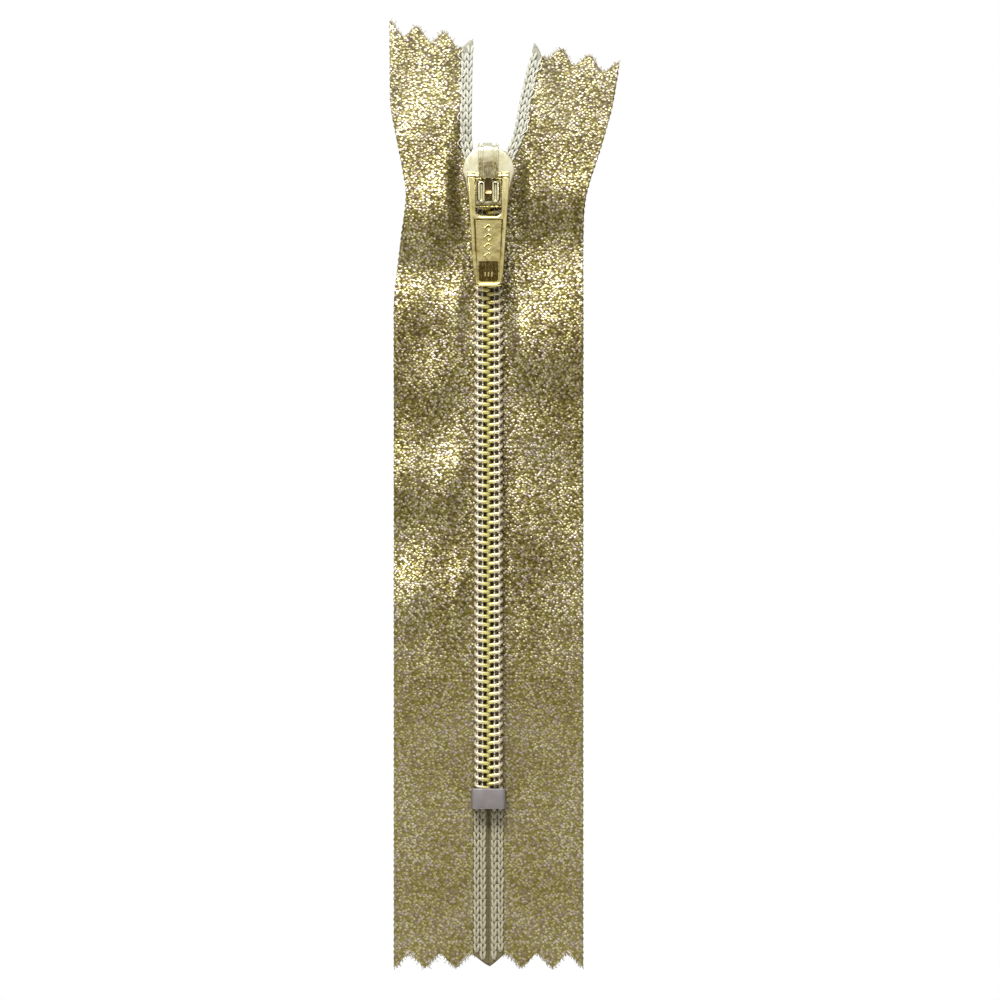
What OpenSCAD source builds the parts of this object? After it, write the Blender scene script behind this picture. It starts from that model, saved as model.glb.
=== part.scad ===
// A closed-end coil zipper for sewing, closed and held upright by its tapes.
// X runs across the tapes, -Y is the face with the slider and +Z runs up the chain.
// The origin is on the middle of the chain, on the face of the tapes, level with the top of the bottom stop.
// All sizes are in millimetres.

/* [Length] */
// From the top of the bottom stop to the top of the slider when the zipper is closed
zip_length = 86.8; // [60:0.1:220]
// Tape left below the bottom stop
tail_length = 24.2; // [15:0.1:40]

/* [Tapes] */
// Half of the width of both tapes together
half_width = 12.8; // [11:0.1:16]
// Thickness of the tape beside the chain
tape_thick = 0.45; // [0.3:0.05:0.5]
// Extra thickness of the band that is sewn to the garment
sewing_step = 0.05; // [0.03:0.01:0.1]
// Distance from the tape's inner edge to the band that is sewn
sewing_guide = 4.0; // [3.8:0.1:5]
// Gap between the two tapes along the middle of the chain
tape_gap = 0.4; // [0.3:0.05:0.6]
// Distance from one tooth of the pinked ends to the next
pinking_pitch = 3.9; // [3:0.1:5]
// Depth of the teeth of the pinked ends
pinking_depth = 1.9; // [1:0.1:2.5]

/* [Chain] */
// Distance from one turn of a coil to the next
coil_pitch = 1.1; // [1.08:0.01:1.2]
// Diameter of the coil's wire
wire_d = 0.5; // [0.4:0.01:0.5]
// Width of the closed chain
chain_width = 3.94; // [3.8:0.01:3.96]
// Depth of a coil from front to back
coil_depth = 1.7; // [1.6:0.01:1.75]
// How far the head of each turn reaches past the middle of the chain
head_reach = 0.3; // [0.2:0.01:0.35]
// Diameter of the cord inside each coil
core_d = 0.54; // [0.4:0.01:0.56]
// Diameter of the two threads that sew a coil on, as they lie on its face
needle_thread_d = 0.2; // [0.15:0.01:0.22]
// Diameter of the looper thread behind the tape
looper_thread_d = 0.26; // [0.2:0.01:0.3]

/* [Slider] */
// Length of the slider's two plates
body_length = 8.4; // [8.2:0.1:8.6]
// Radius of the rounded shoulders
shoulder_r = 3.5; // [3.45:0.01:3.6]
// Width of the slider at its tail
tail_width = 5.2; // [5.1:0.1:5.4]
// Thickness of the front plate
front_plate = 0.85; // [0.7:0.05:0.9]
// Thickness of the back plate
back_plate = 0.75; // [0.6:0.05:0.9]
// How far the cap reaches above the plates
cap_overhang = 0.2; // [0.1:0.05:0.25]
// Width of the cap that bridges the pull's crossbar
cap_width = 2.76; // [2.7:0.01:2.8]

/* [Pull tab] */
// From the pull's hinge to its free end
pull_length = 14.75; // [12:0.05:25]
// Width of the pull at the hinge
pull_top_width = 5.7; // [5.5:0.1:6]
// Width of the pull at its free end
pull_end_width = 3.8; // [3.6:0.1:5]
// Thickness of the pull
pull_thick = 1.3; // [1.2:0.05:1.3]
// Width of the window that the cap passes through
window_width = 3.46; // [3.3:0.01:3.6]
// From the pull's hinge to the far end of the window
window_length = 5.3; // [5.2:0.05:5.6]

/* [Stops] */
// Width of the bottom stop
stop_width = 4.6; // [4.5:0.05:5]
// Height of the bottom stop
stop_height = 2.75; // [2.5:0.05:3.5]
// Thickness of the sheet that the bottom stop is pressed from
stop_sheet = 0.48; // [0.4:0.01:0.6]

/* [Hidden] */
$fn = 32;

tape_colour = "DarkKhaki";
coil_colour = "Goldenrod";
thread_colour = "Thistle";
slider_colour = "Gold";
stop_colour = "RosyBrown";

slider_z = zip_length - body_length - cap_overhang;  // bottom of the slider's plates
coil_front = -coil_depth - 0.05;                     // face of the coils
thread_y = coil_front - 0.03 - needle_thread_d / 2;  // middle of the needle threads
coil_start = 0.3 - stop_height;                      // the coils end inside the bottom stop
coil_end = slider_z + 4.6;                           // and just below the top stops
eps = 0.02;

// Both sides are drawn as the right side, with x measured outwards, and the left side is mirrored.
// Each table gives the tape's edge as [height above the slider's bottom, distance outwards].
left_outer_edge = [[-12.2, 12.8], [-5.2, 12.0], [2, 11.0], [7.8, 12.1], [13.8, 13.3], [26, 13.4]];
right_outer_edge = [[-6.2, 12.8], [0, 12.9], [2.8, 13.4], [7.8, 15.1], [13.8, 16.8], [20, 17.8]];
left_inner_edge = [[6.2, 1.45], [8.4, 2.3], [17.8, 2.2], [23, 2.05]];
right_inner_edge = [[6.2, 1.45], [8.4, 2.8], [10.3, 3.5], [14.2, 4.1], [19.8, 5.4], [22.5, 6.3]];
// Each tape's top runs from its outer corner to its inner corner
left_top = [[13.4, 25.5], [2.05, 23]];
right_top = [[17.8, 19.8], [6.3, 22.5]];
// Heights above the slider's bottom at which the tapes' edges have a point
flare_heights = [-12.2, -6.2, -2, 1.2, 2.2, 3.2, 4.2, 5.2, 6.2, 7.8, 10, 12, 14, 17, 19.5];

// ---- shared shapes ----

function unit(v) = v / norm(v);
function clamp01(t) = min(1, max(0, t));
function smooth(t) = t * t * (3 - 2 * t);
function signed_power(v, p) = sign(v) * pow(abs(v), p);
function arc(x, y, r, from, to, steps = 8) =
    [for (i = [0:steps]) let (a = from + (to - from) * i / steps) [x + r * cos(a), y + r * sin(a)]];

// How far each side of the chain has been pushed outwards by the slider's diamond
function spread(z) = 1.25 * smooth(clamp01((z - slider_z - 1.2) / 5));

// A solid drawn as its front view, from the y of its front to the y of its back
module from_front(front, back) {
    translate([0, back, 0]) rotate([90, 0, 0]) linear_extrude(back - front) children();
}

// A solid drawn as its side view, with [height above the slider's bottom, y] points
module from_side(half, inner = 0) {
    for (side = inner > 0 ? [-1, 1] : [0])
        translate([side * (half + inner) / 2, 0, slider_z])
            rotate([0, -90, 0])
                linear_extrude(inner > 0 ? half - inner : 2 * half, center = true) children();
}

module on_side(side) {
    mirror([side < 0 ? 1 : 0, 0, 0]) children();
}

// A round tube along a path that never runs parallel to up
module tube(path, r, up, sides) {
    last = len(path) - 1;
    rings = [for (i = [0:last])
        let (t = unit(path[min(i + 1, last)] - path[max(i - 1, 0)]), a = unit(cross(up, t)), b = cross(t, a))
        for (k = [0:sides - 1]) path[i] + r * (cos(360 * k / sides) * a + sin(360 * k / sides) * b)];
    walls = [for (i = [0:last - 1], k = [0:sides - 1])
        let (p = i * sides + k, q = i * sides + (k + 1) % sides)
        each [[p, p + sides, q + sides], [p, q + sides, q]]];
    ends = [[for (k = [0:sides - 1]) k], [for (k = [sides - 1:-1:0]) last * sides + k]];
    polyhedron(rings, concat(walls, ends));
}

// ---- tapes ----

function inner_edge(z, table) =
    z < slider_z + 6.2 ? tape_gap / 2 + spread(z) : lookup(z - slider_z, table);
function outer_edge(z, table) =
    lookup(z - slider_z, table) + half_width - 12.8;
function edge_heights(low) = concat([low], [for (h = flare_heights) slider_z + h]);

// The teeth between two corners of a tape's end, cut towards the side that depth points to
function pinked(from, to, depth) =
    let (count = max(1, round(norm(to - from) / pinking_pitch)), step = (to - from) / count)
    [for (i = [0:count - 1]) each [from + i * step, from + (i + 0.5) * step + [0, -depth]]];

// One tape above the bottom stop, from a distance outwards of its inner edge
function tape_outline(low, inset, inner, outer, top) =
    let (heights = edge_heights(low), width = top[0][0] - top[1][0], cut = top[1] + [inset, 0]
        + [0, (top[0][1] - top[1][1]) * inset / width])
    concat(
        [for (z = heights) [inner_edge(z, inner) + inset, z]],
        inset > 0 ? [[cut[0], slider_z + cut[1]]] : [[top[1][0], slider_z + top[1][1]]],
        [for (p = reversed(pinked([top[0][0], slider_z + top[0][1]],
            [cut[0], slider_z + cut[1]], pinking_depth))) p],
        [for (z = reversed(heights)) [outer_edge(z, outer), z]]);
function reversed(list) = [for (i = [len(list) - 1:-1:0]) list[i]];

module tape(side, inner, outer, top) {
    color(tape_colour) on_side(side) {
        from_front(0, tape_thick) polygon(tape_outline(eps, 0, inner, outer, top));
        from_front(0, tape_thick + sewing_step)
            polygon(tape_outline(eps, sewing_guide, inner, outer, top));
    }
}

module left_tape() { tape(-1, left_inner_edge, left_outer_edge, left_top); }
module right_tape() { tape(1, right_inner_edge, right_outer_edge, right_top); }

// The tape below the top of the bottom stop, with the slot that a prong of the stop passes through
function tail_outline(inset) =
    let (inner = tape_gap / 2 + inset)
    concat([[inner, -eps], [inner, -tail_length]],
        [for (p = pinked([inner, -tail_length], [half_width, -tail_length], -pinking_depth)) p],
        [[half_width, -tail_length], [half_width, -eps]]);

module tape_tail(side) {
    color(tape_colour) on_side(side) difference() {
        union() {
            from_front(0, tape_thick) polygon(tail_outline(0));
            from_front(0, tape_thick + sewing_step) polygon(tail_outline(sewing_guide));
        }
        translate([stop_width / 2 - prong_thick - eps, -1, -prong_top - prong_height - eps])
            cube([prong_thick + 2 * eps, 3, prong_height + 2 * eps]);
    }
}

module left_tape_tail() { tape_tail(-1); }
module right_tape_tail() { tape_tail(1); }

// ---- chain ----

loop_half = (chain_width / 2 + head_reach - wire_d) / 2;
loop_middle = chain_width / 2 - wire_d / 2 - loop_half;
loop_rise = (coil_depth - wire_d) / 2;
loop_y = coil_front + coil_depth / 2;
rings_per_turn = 8;

// A turn leaves its head level, climbs most where it rounds the outside, and comes back level
function coil_point(step, phase) =
    let (turn = step / rings_per_turn, a = 360 * (turn - floor(turn)),
        z = coil_start + wire_d / 2 + phase + coil_pitch * (turn - sin(a) / 360 * 180 / PI))
    [loop_middle - loop_half * signed_power(cos(a), 2 / 3) + spread(z),
        loop_y - loop_rise * signed_power(sin(a), 2 / 3), z];

module coil(side) {
    phase = side < 0 ? 0 : coil_pitch / 2;
    turns = floor((coil_end - coil_start - wire_d - phase) / coil_pitch);
    color(coil_colour) on_side(side)
        tube([for (i = [0:turns * rings_per_turn]) coil_point(i, phase)], wire_d / 2, [0, 0, 1], 5);
}

// A straight cord or thread that leans outwards with the chain inside the slider
module chain_cord(side, x, y, d, low, high) {
    bend = [for (h = [0.8:0.8:4]) slider_z + h];
    color(thread_colour) on_side(side)
        tube([for (z = concat([low], bend, [high])) [x + spread(z), y, z]], d / 2, [0, 1, 0], 8);
}

module left_coil() { coil(-1); }
module right_coil() { coil(1); }

core_x = loop_middle + 0.1;
module left_core_cord() { chain_cord(-1, core_x, loop_y, core_d, coil_start, coil_end); }
module right_core_cord() { chain_cord(1, core_x, loop_y, core_d, coil_start, coil_end); }

inner_stitch_x = 0.8;
outer_stitch_x = 1.45;
looper_x = 1.22;
looper_y = tape_thick + 0.01 + looper_thread_d / 2;
module needle_thread(side, x) { chain_cord(side, x, thread_y, needle_thread_d, 0.1, coil_end); }
module looper_thread(side) { chain_cord(side, looper_x, looper_y, looper_thread_d, 0.1, coil_end); }
module left_inner_needle_thread() { needle_thread(-1, inner_stitch_x); }
module left_outer_needle_thread() { needle_thread(-1, outer_stitch_x); }
module left_looper_thread() { looper_thread(-1); }
module right_inner_needle_thread() { needle_thread(1, inner_stitch_x); }
module right_outer_needle_thread() { needle_thread(1, outer_stitch_x); }
module right_looper_thread() { looper_thread(1); }

// ---- stops ----

prong_thick = 0.26;
prong_height = 1.5;
prong_top = 0.6;
cavity_front = thread_y - needle_thread_d / 2 - 0.04;

// A pressed staple over both coils, with two prongs through the tapes that are clenched behind them
module bottom_stop() {
    inside = stop_width / 2 - prong_thick;
    foot = 0.34;
    color(stop_colour) {
        from_front(cavity_front - stop_sheet, cavity_front)
            polygon(concat(
                arc(stop_width / 2 - 0.25, -0.25, 0.25, 0, 90, 4),
                arc(0.25 - stop_width / 2, -0.25, 0.25, 90, 180, 4),
                arc(0.25 - stop_width / 2, 0.25 - stop_height, 0.25, 180, 270, 4),
                arc(stop_width / 2 - 0.25, 0.25 - stop_height, 0.25, 270, 360, 4)));
        for (side = [-1, 1]) on_side(side) {
            translate([inside, cavity_front - 0.1, 0.25 - stop_height])
                cube([prong_thick, 0.08 - cavity_front, stop_height - 0.5]);
            translate([inside, -0.1, -prong_top - prong_height])
                cube([prong_thick, tape_thick + eps + foot + 0.1, prong_height]);
            translate([0.3, tape_thick + eps, -prong_top - prong_height])
                cube([stop_width / 2 - 0.3, foot, prong_height]);
        }
    }
}

// A clip bent round the tape's inner edge above the last turn of the coil
module top_stop(side) {
    low = slider_z + 4.75;
    edge = inner_edge(low, left_inner_edge) - eps;
    web = 0.3;
    color(stop_colour) on_side(side) difference() {
        from_front(-1.85, tape_thick + 0.32)
            polygon(concat(
                [[edge - web, low], [3.15, low]],
                arc(2.9, low + 0.85, 0.3, 0, 90, 4),
                [[edge - web, low + 1.15]]));
        translate([edge - eps, -eps, low - 1]) cube([4, tape_thick + 2 * eps, 4]);
    }
}

module left_top_stop() { top_stop(-1); }
module right_top_stop() { top_stop(1); }

// ---- slider ----

plate_back = -2.15;                       // back of the front plate
plate_front = plate_back - front_plate;   // face of the front plate
rear_front = 0.85;                        // front of the back plate
rear_back = rear_front + back_plate;
shoulder_h = body_length - shoulder_r;    // height of the shoulders' centre
channel_half = chain_width / 2 + 0.15;
flange_top = 4.6;
flange_front = -0.3;                      // the slot for the tapes starts here
lip_front = 0.6;                          // and ends here
hinge_h = 4.1;                            // the pull's hinge, above the slider's bottom
hinge_y = plate_front - 0.3 - pull_thick / 2;
crossbar_r = 0.5;
slot_half = 0.5;                          // half of the slot that the lock spring works in
spring_half = 0.42;
spring_thick = 0.25;
spring_back = hinge_y - crossbar_r - 0.05;
claw_h = 1.65;
claw_thick = 0.25;
claw_tip = coil_front - 0.1;

function plate_outline(inset) =
    let (x = tail_width / 2 - inset, r = 0.3)
    concat(
        arc(x - r, inset + r, r, -90, 0, 4),
        arc(0, shoulder_h, shoulder_r - inset, -20, 200, 32),
        arc(r - x, inset + r, r, 180, 270, 4));

// One wall of the slider's channel: it follows the plates outside and the coil's path inside
flange_outline = [
    [channel_half, 0.05], [channel_half, 1.4], [3.0, flange_top],
    [shoulder_r * cos(-4.9), flange_top], [shoulder_r * cos(-20), shoulder_h + shoulder_r * sin(-20)],
    [tail_width / 2, 0.35], [tail_width / 2 - 0.1, 0.12]
];

module slider_body() {
    color(slider_colour) difference() {
        union() {
            translate([0, 0, slider_z]) {
                from_front(plate_front + 0.2, plate_back) polygon(plate_outline(0));
                from_front(plate_front, plate_front + 0.2) polygon(plate_outline(0.2));
                from_front(rear_front, rear_back - 0.2) polygon(plate_outline(0));
                from_front(rear_back - 0.2, rear_back) polygon(plate_outline(0.2));
                for (side = [-1, 1]) on_side(side) {
                    from_front(plate_back - 0.1, flange_front) polygon(flange_outline);
                    from_front(lip_front, rear_front + 0.1) polygon(flange_outline);
                    // ears that guide the lock spring below the crossbar
                    from_front(plate_front - 1.75, plate_front + 0.1) polygon(concat(
                        arc(cap_width / 2 - 0.35, 0.95, 0.35, -90, 0, 6),
                        arc(cap_width / 2 - 0.35, 3.1, 0.35, 0, 90, 6),
                        arc(slot_half + 0.3, 3.15, 0.3, 90, 180, 6),
                        arc(slot_half + 0.3, 0.9, 0.3, 180, 270, 6)));
                }
                // the diamond that parts the coils
                from_front(plate_back - 0.1, rear_front + 0.1)
                    polygon([[0, 3.2], [0.85, 6.2], [0.6, 8.1], [-0.6, 8.1], [-0.85, 6.2]]);
                // the lug that the lock spring lies on, inside the cap
                translate([-0.85, spring_back + 0.03, 6.3])
                    cube([1.7, plate_front - spring_back, 1.6]);
            }
        }
        // the hole that the claw of the lock spring reaches through
        translate([-slot_half - 0.05, plate_front - 1, slider_z + claw_h - 0.3])
            cube([2 * slot_half + 0.1, front_plate + 1.5, 0.8]);
    }
}

cap_roof = 0.48;
cap_half = cap_width / 2;
// A pressed channel over the crossbar: a roof, an end wall and two side walls
module slider_cap() {
    crown = plate_front - 2.9;
    top_h = body_length + cap_overhang;
    color(slider_colour) {
        from_side(cap_half) polygon(concat(
            [[hinge_h - 0.3, crown + 0.4], [6.2, crown]],
            arc(top_h - 1.2, crown + 1.2, 1.2, 270, 360, 8),
            [[top_h, plate_front - 0.01], [top_h - cap_roof, plate_front - 0.01]],
            reversed(arc(top_h - 1.2, crown + 1.2, 1.2 - cap_roof, 270, 360, 8)),
            [[6.2, crown + cap_roof], [hinge_h - 0.3, crown + 0.4 + cap_roof]]));
        from_side(cap_half, cap_half - 0.32) polygon([
            [hinge_h + crossbar_r + 0.15, crown + 0.5], [6.2, crown + 0.3], [top_h - 0.6, crown + 0.6],
            [top_h - 0.2, plate_front - 0.01], [hinge_h + crossbar_r + 0.15, plate_front - 0.01]]);
    }
}

// A bent strip: it lies over the crossbar, and its claw drops through the front plate to the chain
module lock_spring() {
    front = spring_back - spring_thick;
    color("Khaki") from_side(spring_half) polygon([
        [7.85, spring_back], [claw_h + claw_thick, spring_back],
        [claw_h + claw_thick, claw_tip], [claw_h, claw_tip],
        [claw_h, front + 0.15], [claw_h + 0.15, front], [7.85, front]]);
}

// ---- pull tab ----

rim = 0.9;
recess_depth = 0.35;
recess_top = window_length + 0.65;

// Half of the pull's width at a distance below its hinge
function pull_half(d) = (pull_top_width + (pull_end_width - pull_top_width) * d / pull_length) / 2;

module pull_plate(front, back, outline) {
    translate([0, 0, slider_z + hinge_h]) from_front(front, back) polygon(outline);
}

module pull_tab() {
    front = hinge_y - pull_thick / 2;
    back = hinge_y + pull_thick / 2;
    corner = 0.45;
    low = pull_half(recess_top) - rim;
    high = pull_half(pull_length) - 0.65;
    color(slider_colour) {
        difference() {
            pull_plate(front, back, concat(
                arc(pull_half(pull_length) - corner, corner - pull_length, corner, 0, -90, 5),
                arc(corner - pull_half(pull_length), corner - pull_length, corner, -90, -180, 5),
                [[-pull_half(0), 0], [pull_half(0), 0]]));
            pull_plate(front - 1, back + 1, concat(
                [[window_width / 2, 1]],
                arc(window_width / 2 - 0.5, 0.5 - window_length, 0.5, 0, -90, 5),
                arc(0.5 - window_width / 2, 0.5 - window_length, 0.5, -90, -180, 5),
                [[-window_width / 2, 1]]));
            pull_plate(front - 1, front + recess_depth, concat(
                [[low, -recess_top]],
                arc(high - 0.35, 0.85 - pull_length, 0.35, 0, -90, 5),
                arc(0.35 - high, 0.85 - pull_length, 0.35, -90, -180, 5),
                [[-low, -recess_top]]));
        }
        // rounded hinge ends of the two arms, and the crossbar between them
        for (side = [-1, 1])
            translate([side * (window_width + pull_top_width) / 4, hinge_y, slider_z + hinge_h])
                rotate([0, 90, 0])
                    cylinder(h = (pull_top_width - window_width) / 2, r = pull_thick / 2, center = true);
        translate([0, hinge_y, slider_z + hinge_h])
            rotate([0, 90, 0]) cylinder(h = window_width + 0.4, r = crossbar_r, center = true);
        // a row of raised lozenges for grip
        for (i = [0:3]) {
            d = recess_top + 1.6 + 1.35 * i;
            pull_plate(front + 0.12, front + recess_depth + 0.1,
                [[0, 0.55 - d], [0.6, -d], [0, -d - 0.55], [-0.6, -d]]);
        }
    }
}

bottom_stop();
left_tape_tail();
right_tape_tail();
left_tape();
left_coil();
left_core_cord();
left_inner_needle_thread();
left_outer_needle_thread();
left_looper_thread();
left_top_stop();
right_tape();
right_coil();
right_core_cord();
right_inner_needle_thread();
right_outer_needle_thread();
right_looper_thread();
right_top_stop();
slider_body();
slider_cap();
lock_spring();
pull_tab();
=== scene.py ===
"""A closed-end coil zipper: two glitter tapes, two sewn coils, a locking slider with its pull, and stops.

Sizes are in millimetres until a mesh is made. x runs across the tapes, -y is the face with the coils,
and z runs up the chain. Each side is worked out with x measured outwards from the middle of the chain.
"""
import math

import bmesh
import bpy
import numpy as np
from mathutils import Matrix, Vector
from mathutils.geometry import tessellate_polygon


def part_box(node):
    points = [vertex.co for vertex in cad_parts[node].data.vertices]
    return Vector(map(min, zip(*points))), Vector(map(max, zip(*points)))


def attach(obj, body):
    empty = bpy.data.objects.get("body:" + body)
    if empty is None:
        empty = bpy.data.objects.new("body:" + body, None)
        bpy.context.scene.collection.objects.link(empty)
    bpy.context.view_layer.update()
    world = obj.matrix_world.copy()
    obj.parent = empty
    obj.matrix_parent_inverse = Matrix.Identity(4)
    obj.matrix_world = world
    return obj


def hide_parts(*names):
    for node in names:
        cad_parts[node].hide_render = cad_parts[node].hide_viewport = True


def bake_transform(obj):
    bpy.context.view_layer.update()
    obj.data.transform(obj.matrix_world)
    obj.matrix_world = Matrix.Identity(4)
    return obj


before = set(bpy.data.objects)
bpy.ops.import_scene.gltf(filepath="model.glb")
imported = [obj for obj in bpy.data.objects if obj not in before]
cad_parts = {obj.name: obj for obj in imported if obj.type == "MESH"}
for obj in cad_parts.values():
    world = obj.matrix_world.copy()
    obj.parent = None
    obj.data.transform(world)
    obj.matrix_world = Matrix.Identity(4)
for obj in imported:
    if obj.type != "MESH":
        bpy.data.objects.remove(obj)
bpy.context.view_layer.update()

MM = 0.001
SIGN = {"left": -1, "right": 1}


def node_box(node):
    """Lowest and highest corner of a CAD node, in millimetres."""
    low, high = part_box(node)
    return np.array(low) / MM, np.array(high) / MM


def place_camera():
    """The view of the whole zipper from in front, from far enough away to look nearly flat."""
    distance = 0.7
    view_height = 0.1351
    middle_x, middle_z = 0.00155, 0.03885
    camera = bpy.data.objects.new("camera", bpy.data.cameras.new("camera"))
    camera.location = (middle_x, -distance, middle_z)
    camera.rotation_euler = (math.radians(90), 0, 0)
    camera.data.sensor_width = 36
    camera.data.lens = camera.data.sensor_width * distance / view_height
    bpy.context.scene.collection.objects.link(camera)
    bpy.context.scene.camera = camera


place_camera()

# ---- sizes taken from the CAD model ----

SLIDER_Z = node_box("slider_body")[0][2]
PLATE_FRONT = -3.0
PLATE_BACK = -2.15
REAR_FRONT = 0.85
REAR_BACK = node_box("slider_body")[1][1]
BODY_TOP = node_box("slider_body")[1][2] - SLIDER_Z
CAP_TOP = node_box("slider_cap")[1][2] - SLIDER_Z
CAP_CROWN = node_box("slider_cap")[0][1]
CAP_HALF = node_box("slider_cap")[1][0]
SHOULDER_R = node_box("slider_body")[1][0]
TAIL_LOW = node_box("right_tape_tail")[0][2]
TAIL_HALF = node_box("right_tape_tail")[1][0]
STOP_LOW, STOP_HIGH = node_box("bottom_stop")
PULL_LOW, PULL_HIGH = node_box("pull_tab")

# ---- the tapes and the chain ----

TAPE_THICK = 0.45
TAPE_GAP = 0.4
BAND_WIDTH = 1.6
PINKING_DEPTH = 1.9
TEETH = 3
BAND_SHARE = BAND_WIDTH / (TAIL_HALF - TAPE_GAP / 2)
COIL_PITCH = 1.1
WIRE_R = 0.25
LOOP_MIDDLE = 0.835
LOOP_HALF = 0.885
LOOP_RISE = 0.6
LOOP_Y = -0.9
COIL_START = STOP_LOW[2] + 0.3
COIL_END = SLIDER_Z + 4.6
COIL_FRONT = LOOP_Y - LOOP_RISE - WIRE_R
# Each side's push outwards by the slider's diamond, the height above the slider's bottom where it
# starts, and the height over which it grows
SPREAD = 1.25
SPREAD_START = 1.2
SPREAD_RISE = 5
# The knitted edge band: the rows of V stitches, the columns they stand in, and one leg's height
STITCH_PITCH = 1.0
WALE_WIDTH = 0.78
LEG_RISE = 1.15
# The needle threads, as [row, distance outwards, height of the coil's leg there above its head]
NEEDLE_ROWS = [["inner", 0.8, 0.09], ["outer", 1.45, 0.22]]

# The edges of each tape, as [height above the slider's bottom, distance outwards]
OUTER_EDGE = {
    "left": [[-12.2, 12.8], [-5.2, 12.0], [2, 11.0], [7.8, 12.1], [13.8, 13.3], [26, 13.4]],
    "right": [[-6.2, 12.8], [0, 12.9], [2.8, 13.4], [7.8, 15.1], [13.8, 16.8], [20, 17.8]],
}
FREE_INNER_EDGE = {
    "left": [[6.2, 1.45], [8.4, 2.3], [17.8, 2.2], [23, 2.05]],
    "right": [[6.2, 1.45], [8.4, 2.8], [10.3, 3.5], [14.2, 4.1], [19.8, 5.4], [22.5, 6.3]],
}
# Each tape's top, as heights above the slider's bottom at its inner and its outer corner
TOP_HEIGHTS = {"left": (23.0, 25.5), "right": (22.5, 19.8)}
# How far the tapes' faces lean back, as [height, degrees near the chain, degrees at the outer edge]
FOLDS = {
    "left": [[-26, 0, 0], [-8, 1, 1], [8, -1, 0], [18, -1, 0], [24, -8, -8], [29.5, 13, 13],
             [37.5, -13, -13], [45, 9, 9], [52, -11, -9], [58, 5, 1], [63, -8, -4], [68, 11, 13],
             [72.3, -11, -19], [76, -22, -7], [80.5, 9, 12], [88, 3, 5], [95, 6, 7], [104, 4, 6]],
    "right": [[-26, 0, 0], [-8, 1, 0], [8, -1, 0], [18, 0, 0], [25.5, 2, 3], [31, -8, 3],
              [40, 10, 9], [46, -6, -6], [50.5, 2, -2], [55.5, -17, -17], [63.5, 11, 7],
              [67.8, -2, 12], [71.3, 9, 10], [76.8, -22, -19], [82, 6, 11], [90, 4, 4], [97, 7, 5],
              [104, 9, 6]],
}
FOLD_STEP = 0.25
FOLD_HEIGHTS = np.arange(-30, 112, FOLD_STEP)


def smooth(t):
    """An eased step from 0 to 1, level at both ends."""
    t = np.clip(t, 0, 1)
    return t * t * (3 - 2 * t)


def lookup(height, table):
    """A table's value at a height, with its corners softened over about 3 mm."""
    heights = [row[0] for row in table]
    values = [row[1] for row in table]
    shifts = (-1.5, -0.75, 0, 0.75, 1.5)
    return sum(np.interp(height + shift, heights, values) for shift in shifts) / len(shifts)


def spread(z):
    """How far each side of the chain has been pushed outwards by the slider's diamond."""
    return SPREAD * smooth((z - SLIDER_Z - SPREAD_START) / SPREAD_RISE)


def inner_edge(side, z):
    """Distance of a tape's inner edge from the middle: along the chain, then free above the slider."""
    closed = TAPE_GAP / 2 + spread(z)
    free = lookup(z - SLIDER_Z, FREE_INNER_EDGE[side])
    return closed + (free - closed) * smooth((z - SLIDER_Z - 5.2) / 2)


def outer_edge(side, z):
    return lookup(z - SLIDER_Z, OUTER_EDGE[side])


def fold_shift(side, column):
    """How far back the folds put the tape at each of FOLD_HEIGHTS, from one column of FOLDS."""
    table = np.array(FOLDS[side])
    lean = np.interp(FOLD_HEIGHTS, table[:, 0], table[:, column])
    window = 9
    lean = np.convolve(lean, np.full(window, 1 / window), mode="same")
    shift = np.cumsum(np.tan(np.radians(lean))) * FOLD_STEP
    # Most of the drift over 25 mm is taken out, so that the tape stays near its flat place
    every = 100
    drift = np.interp(FOLD_HEIGHTS, FOLD_HEIGHTS[::every], shift[::every])
    return shift - 0.8 * drift


FOLD_SHIFTS = {side: [fold_shift(side, 1), fold_shift(side, 2)] for side in SIGN}


def ripple(side, x, z):
    """How far the tape's face is pushed back by its folds. The seam and the slider hold it flat."""
    near, far = [np.interp(z, FOLD_HEIGHTS, shift) for shift in FOLD_SHIFTS[side]]
    fold = near + (far - near) * smooth((x - 4) / 7)
    cross = 0.15 * np.sin(0.31 * z + 0.9 * x) * smooth((z - 14) / 12)
    near_slider = np.exp(-((z - SLIDER_Z - 4) / 7) ** 2)
    free = smooth((x - 2.3 - 1.6 * near_slider) / 2.2)
    free = np.maximum(free, smooth((z - SLIDER_Z - 9) / 4))
    return (fold + cross) * free


def on_tape(side, x, z, out):
    """Points at a distance outwards, a height, and a distance behind the tape's face."""
    x, z, out = np.broadcast_arrays(x, z, out)
    return np.stack([SIGN[side] * x, ripple(side, x, z) + out, z], axis=-1)


def tooth(t):
    """0 at whole numbers, 1 half way between them, with slightly round corners."""
    return 0.6 * (1 - abs(2 * (t % 1) - 1)) + 0.4 * (0.5 - 0.5 * np.cos(2 * math.pi * t))


def pinked_height(side, share, along):
    """Height of a point of the tape: share runs across it from its inner edge, along from end to end."""
    inner_top, outer_top = TOP_HEIGHTS[side]
    top = SLIDER_Z + inner_top + (outer_top - inner_top) * share
    z = TAIL_LOW + (top - TAIL_LOW) * along
    fade = 5.0  # the height over which the points of the mesh level out again
    from_bottom = np.clip(1 - (z - TAIL_LOW) / fade, 0, 1)
    from_top = np.clip(1 - (top - z) / fade, 0, 1)
    cut = PINKING_DEPTH * tooth(TEETH * share)
    return z + cut * from_bottom - cut * from_top


# ---- mesh building ----


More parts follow.
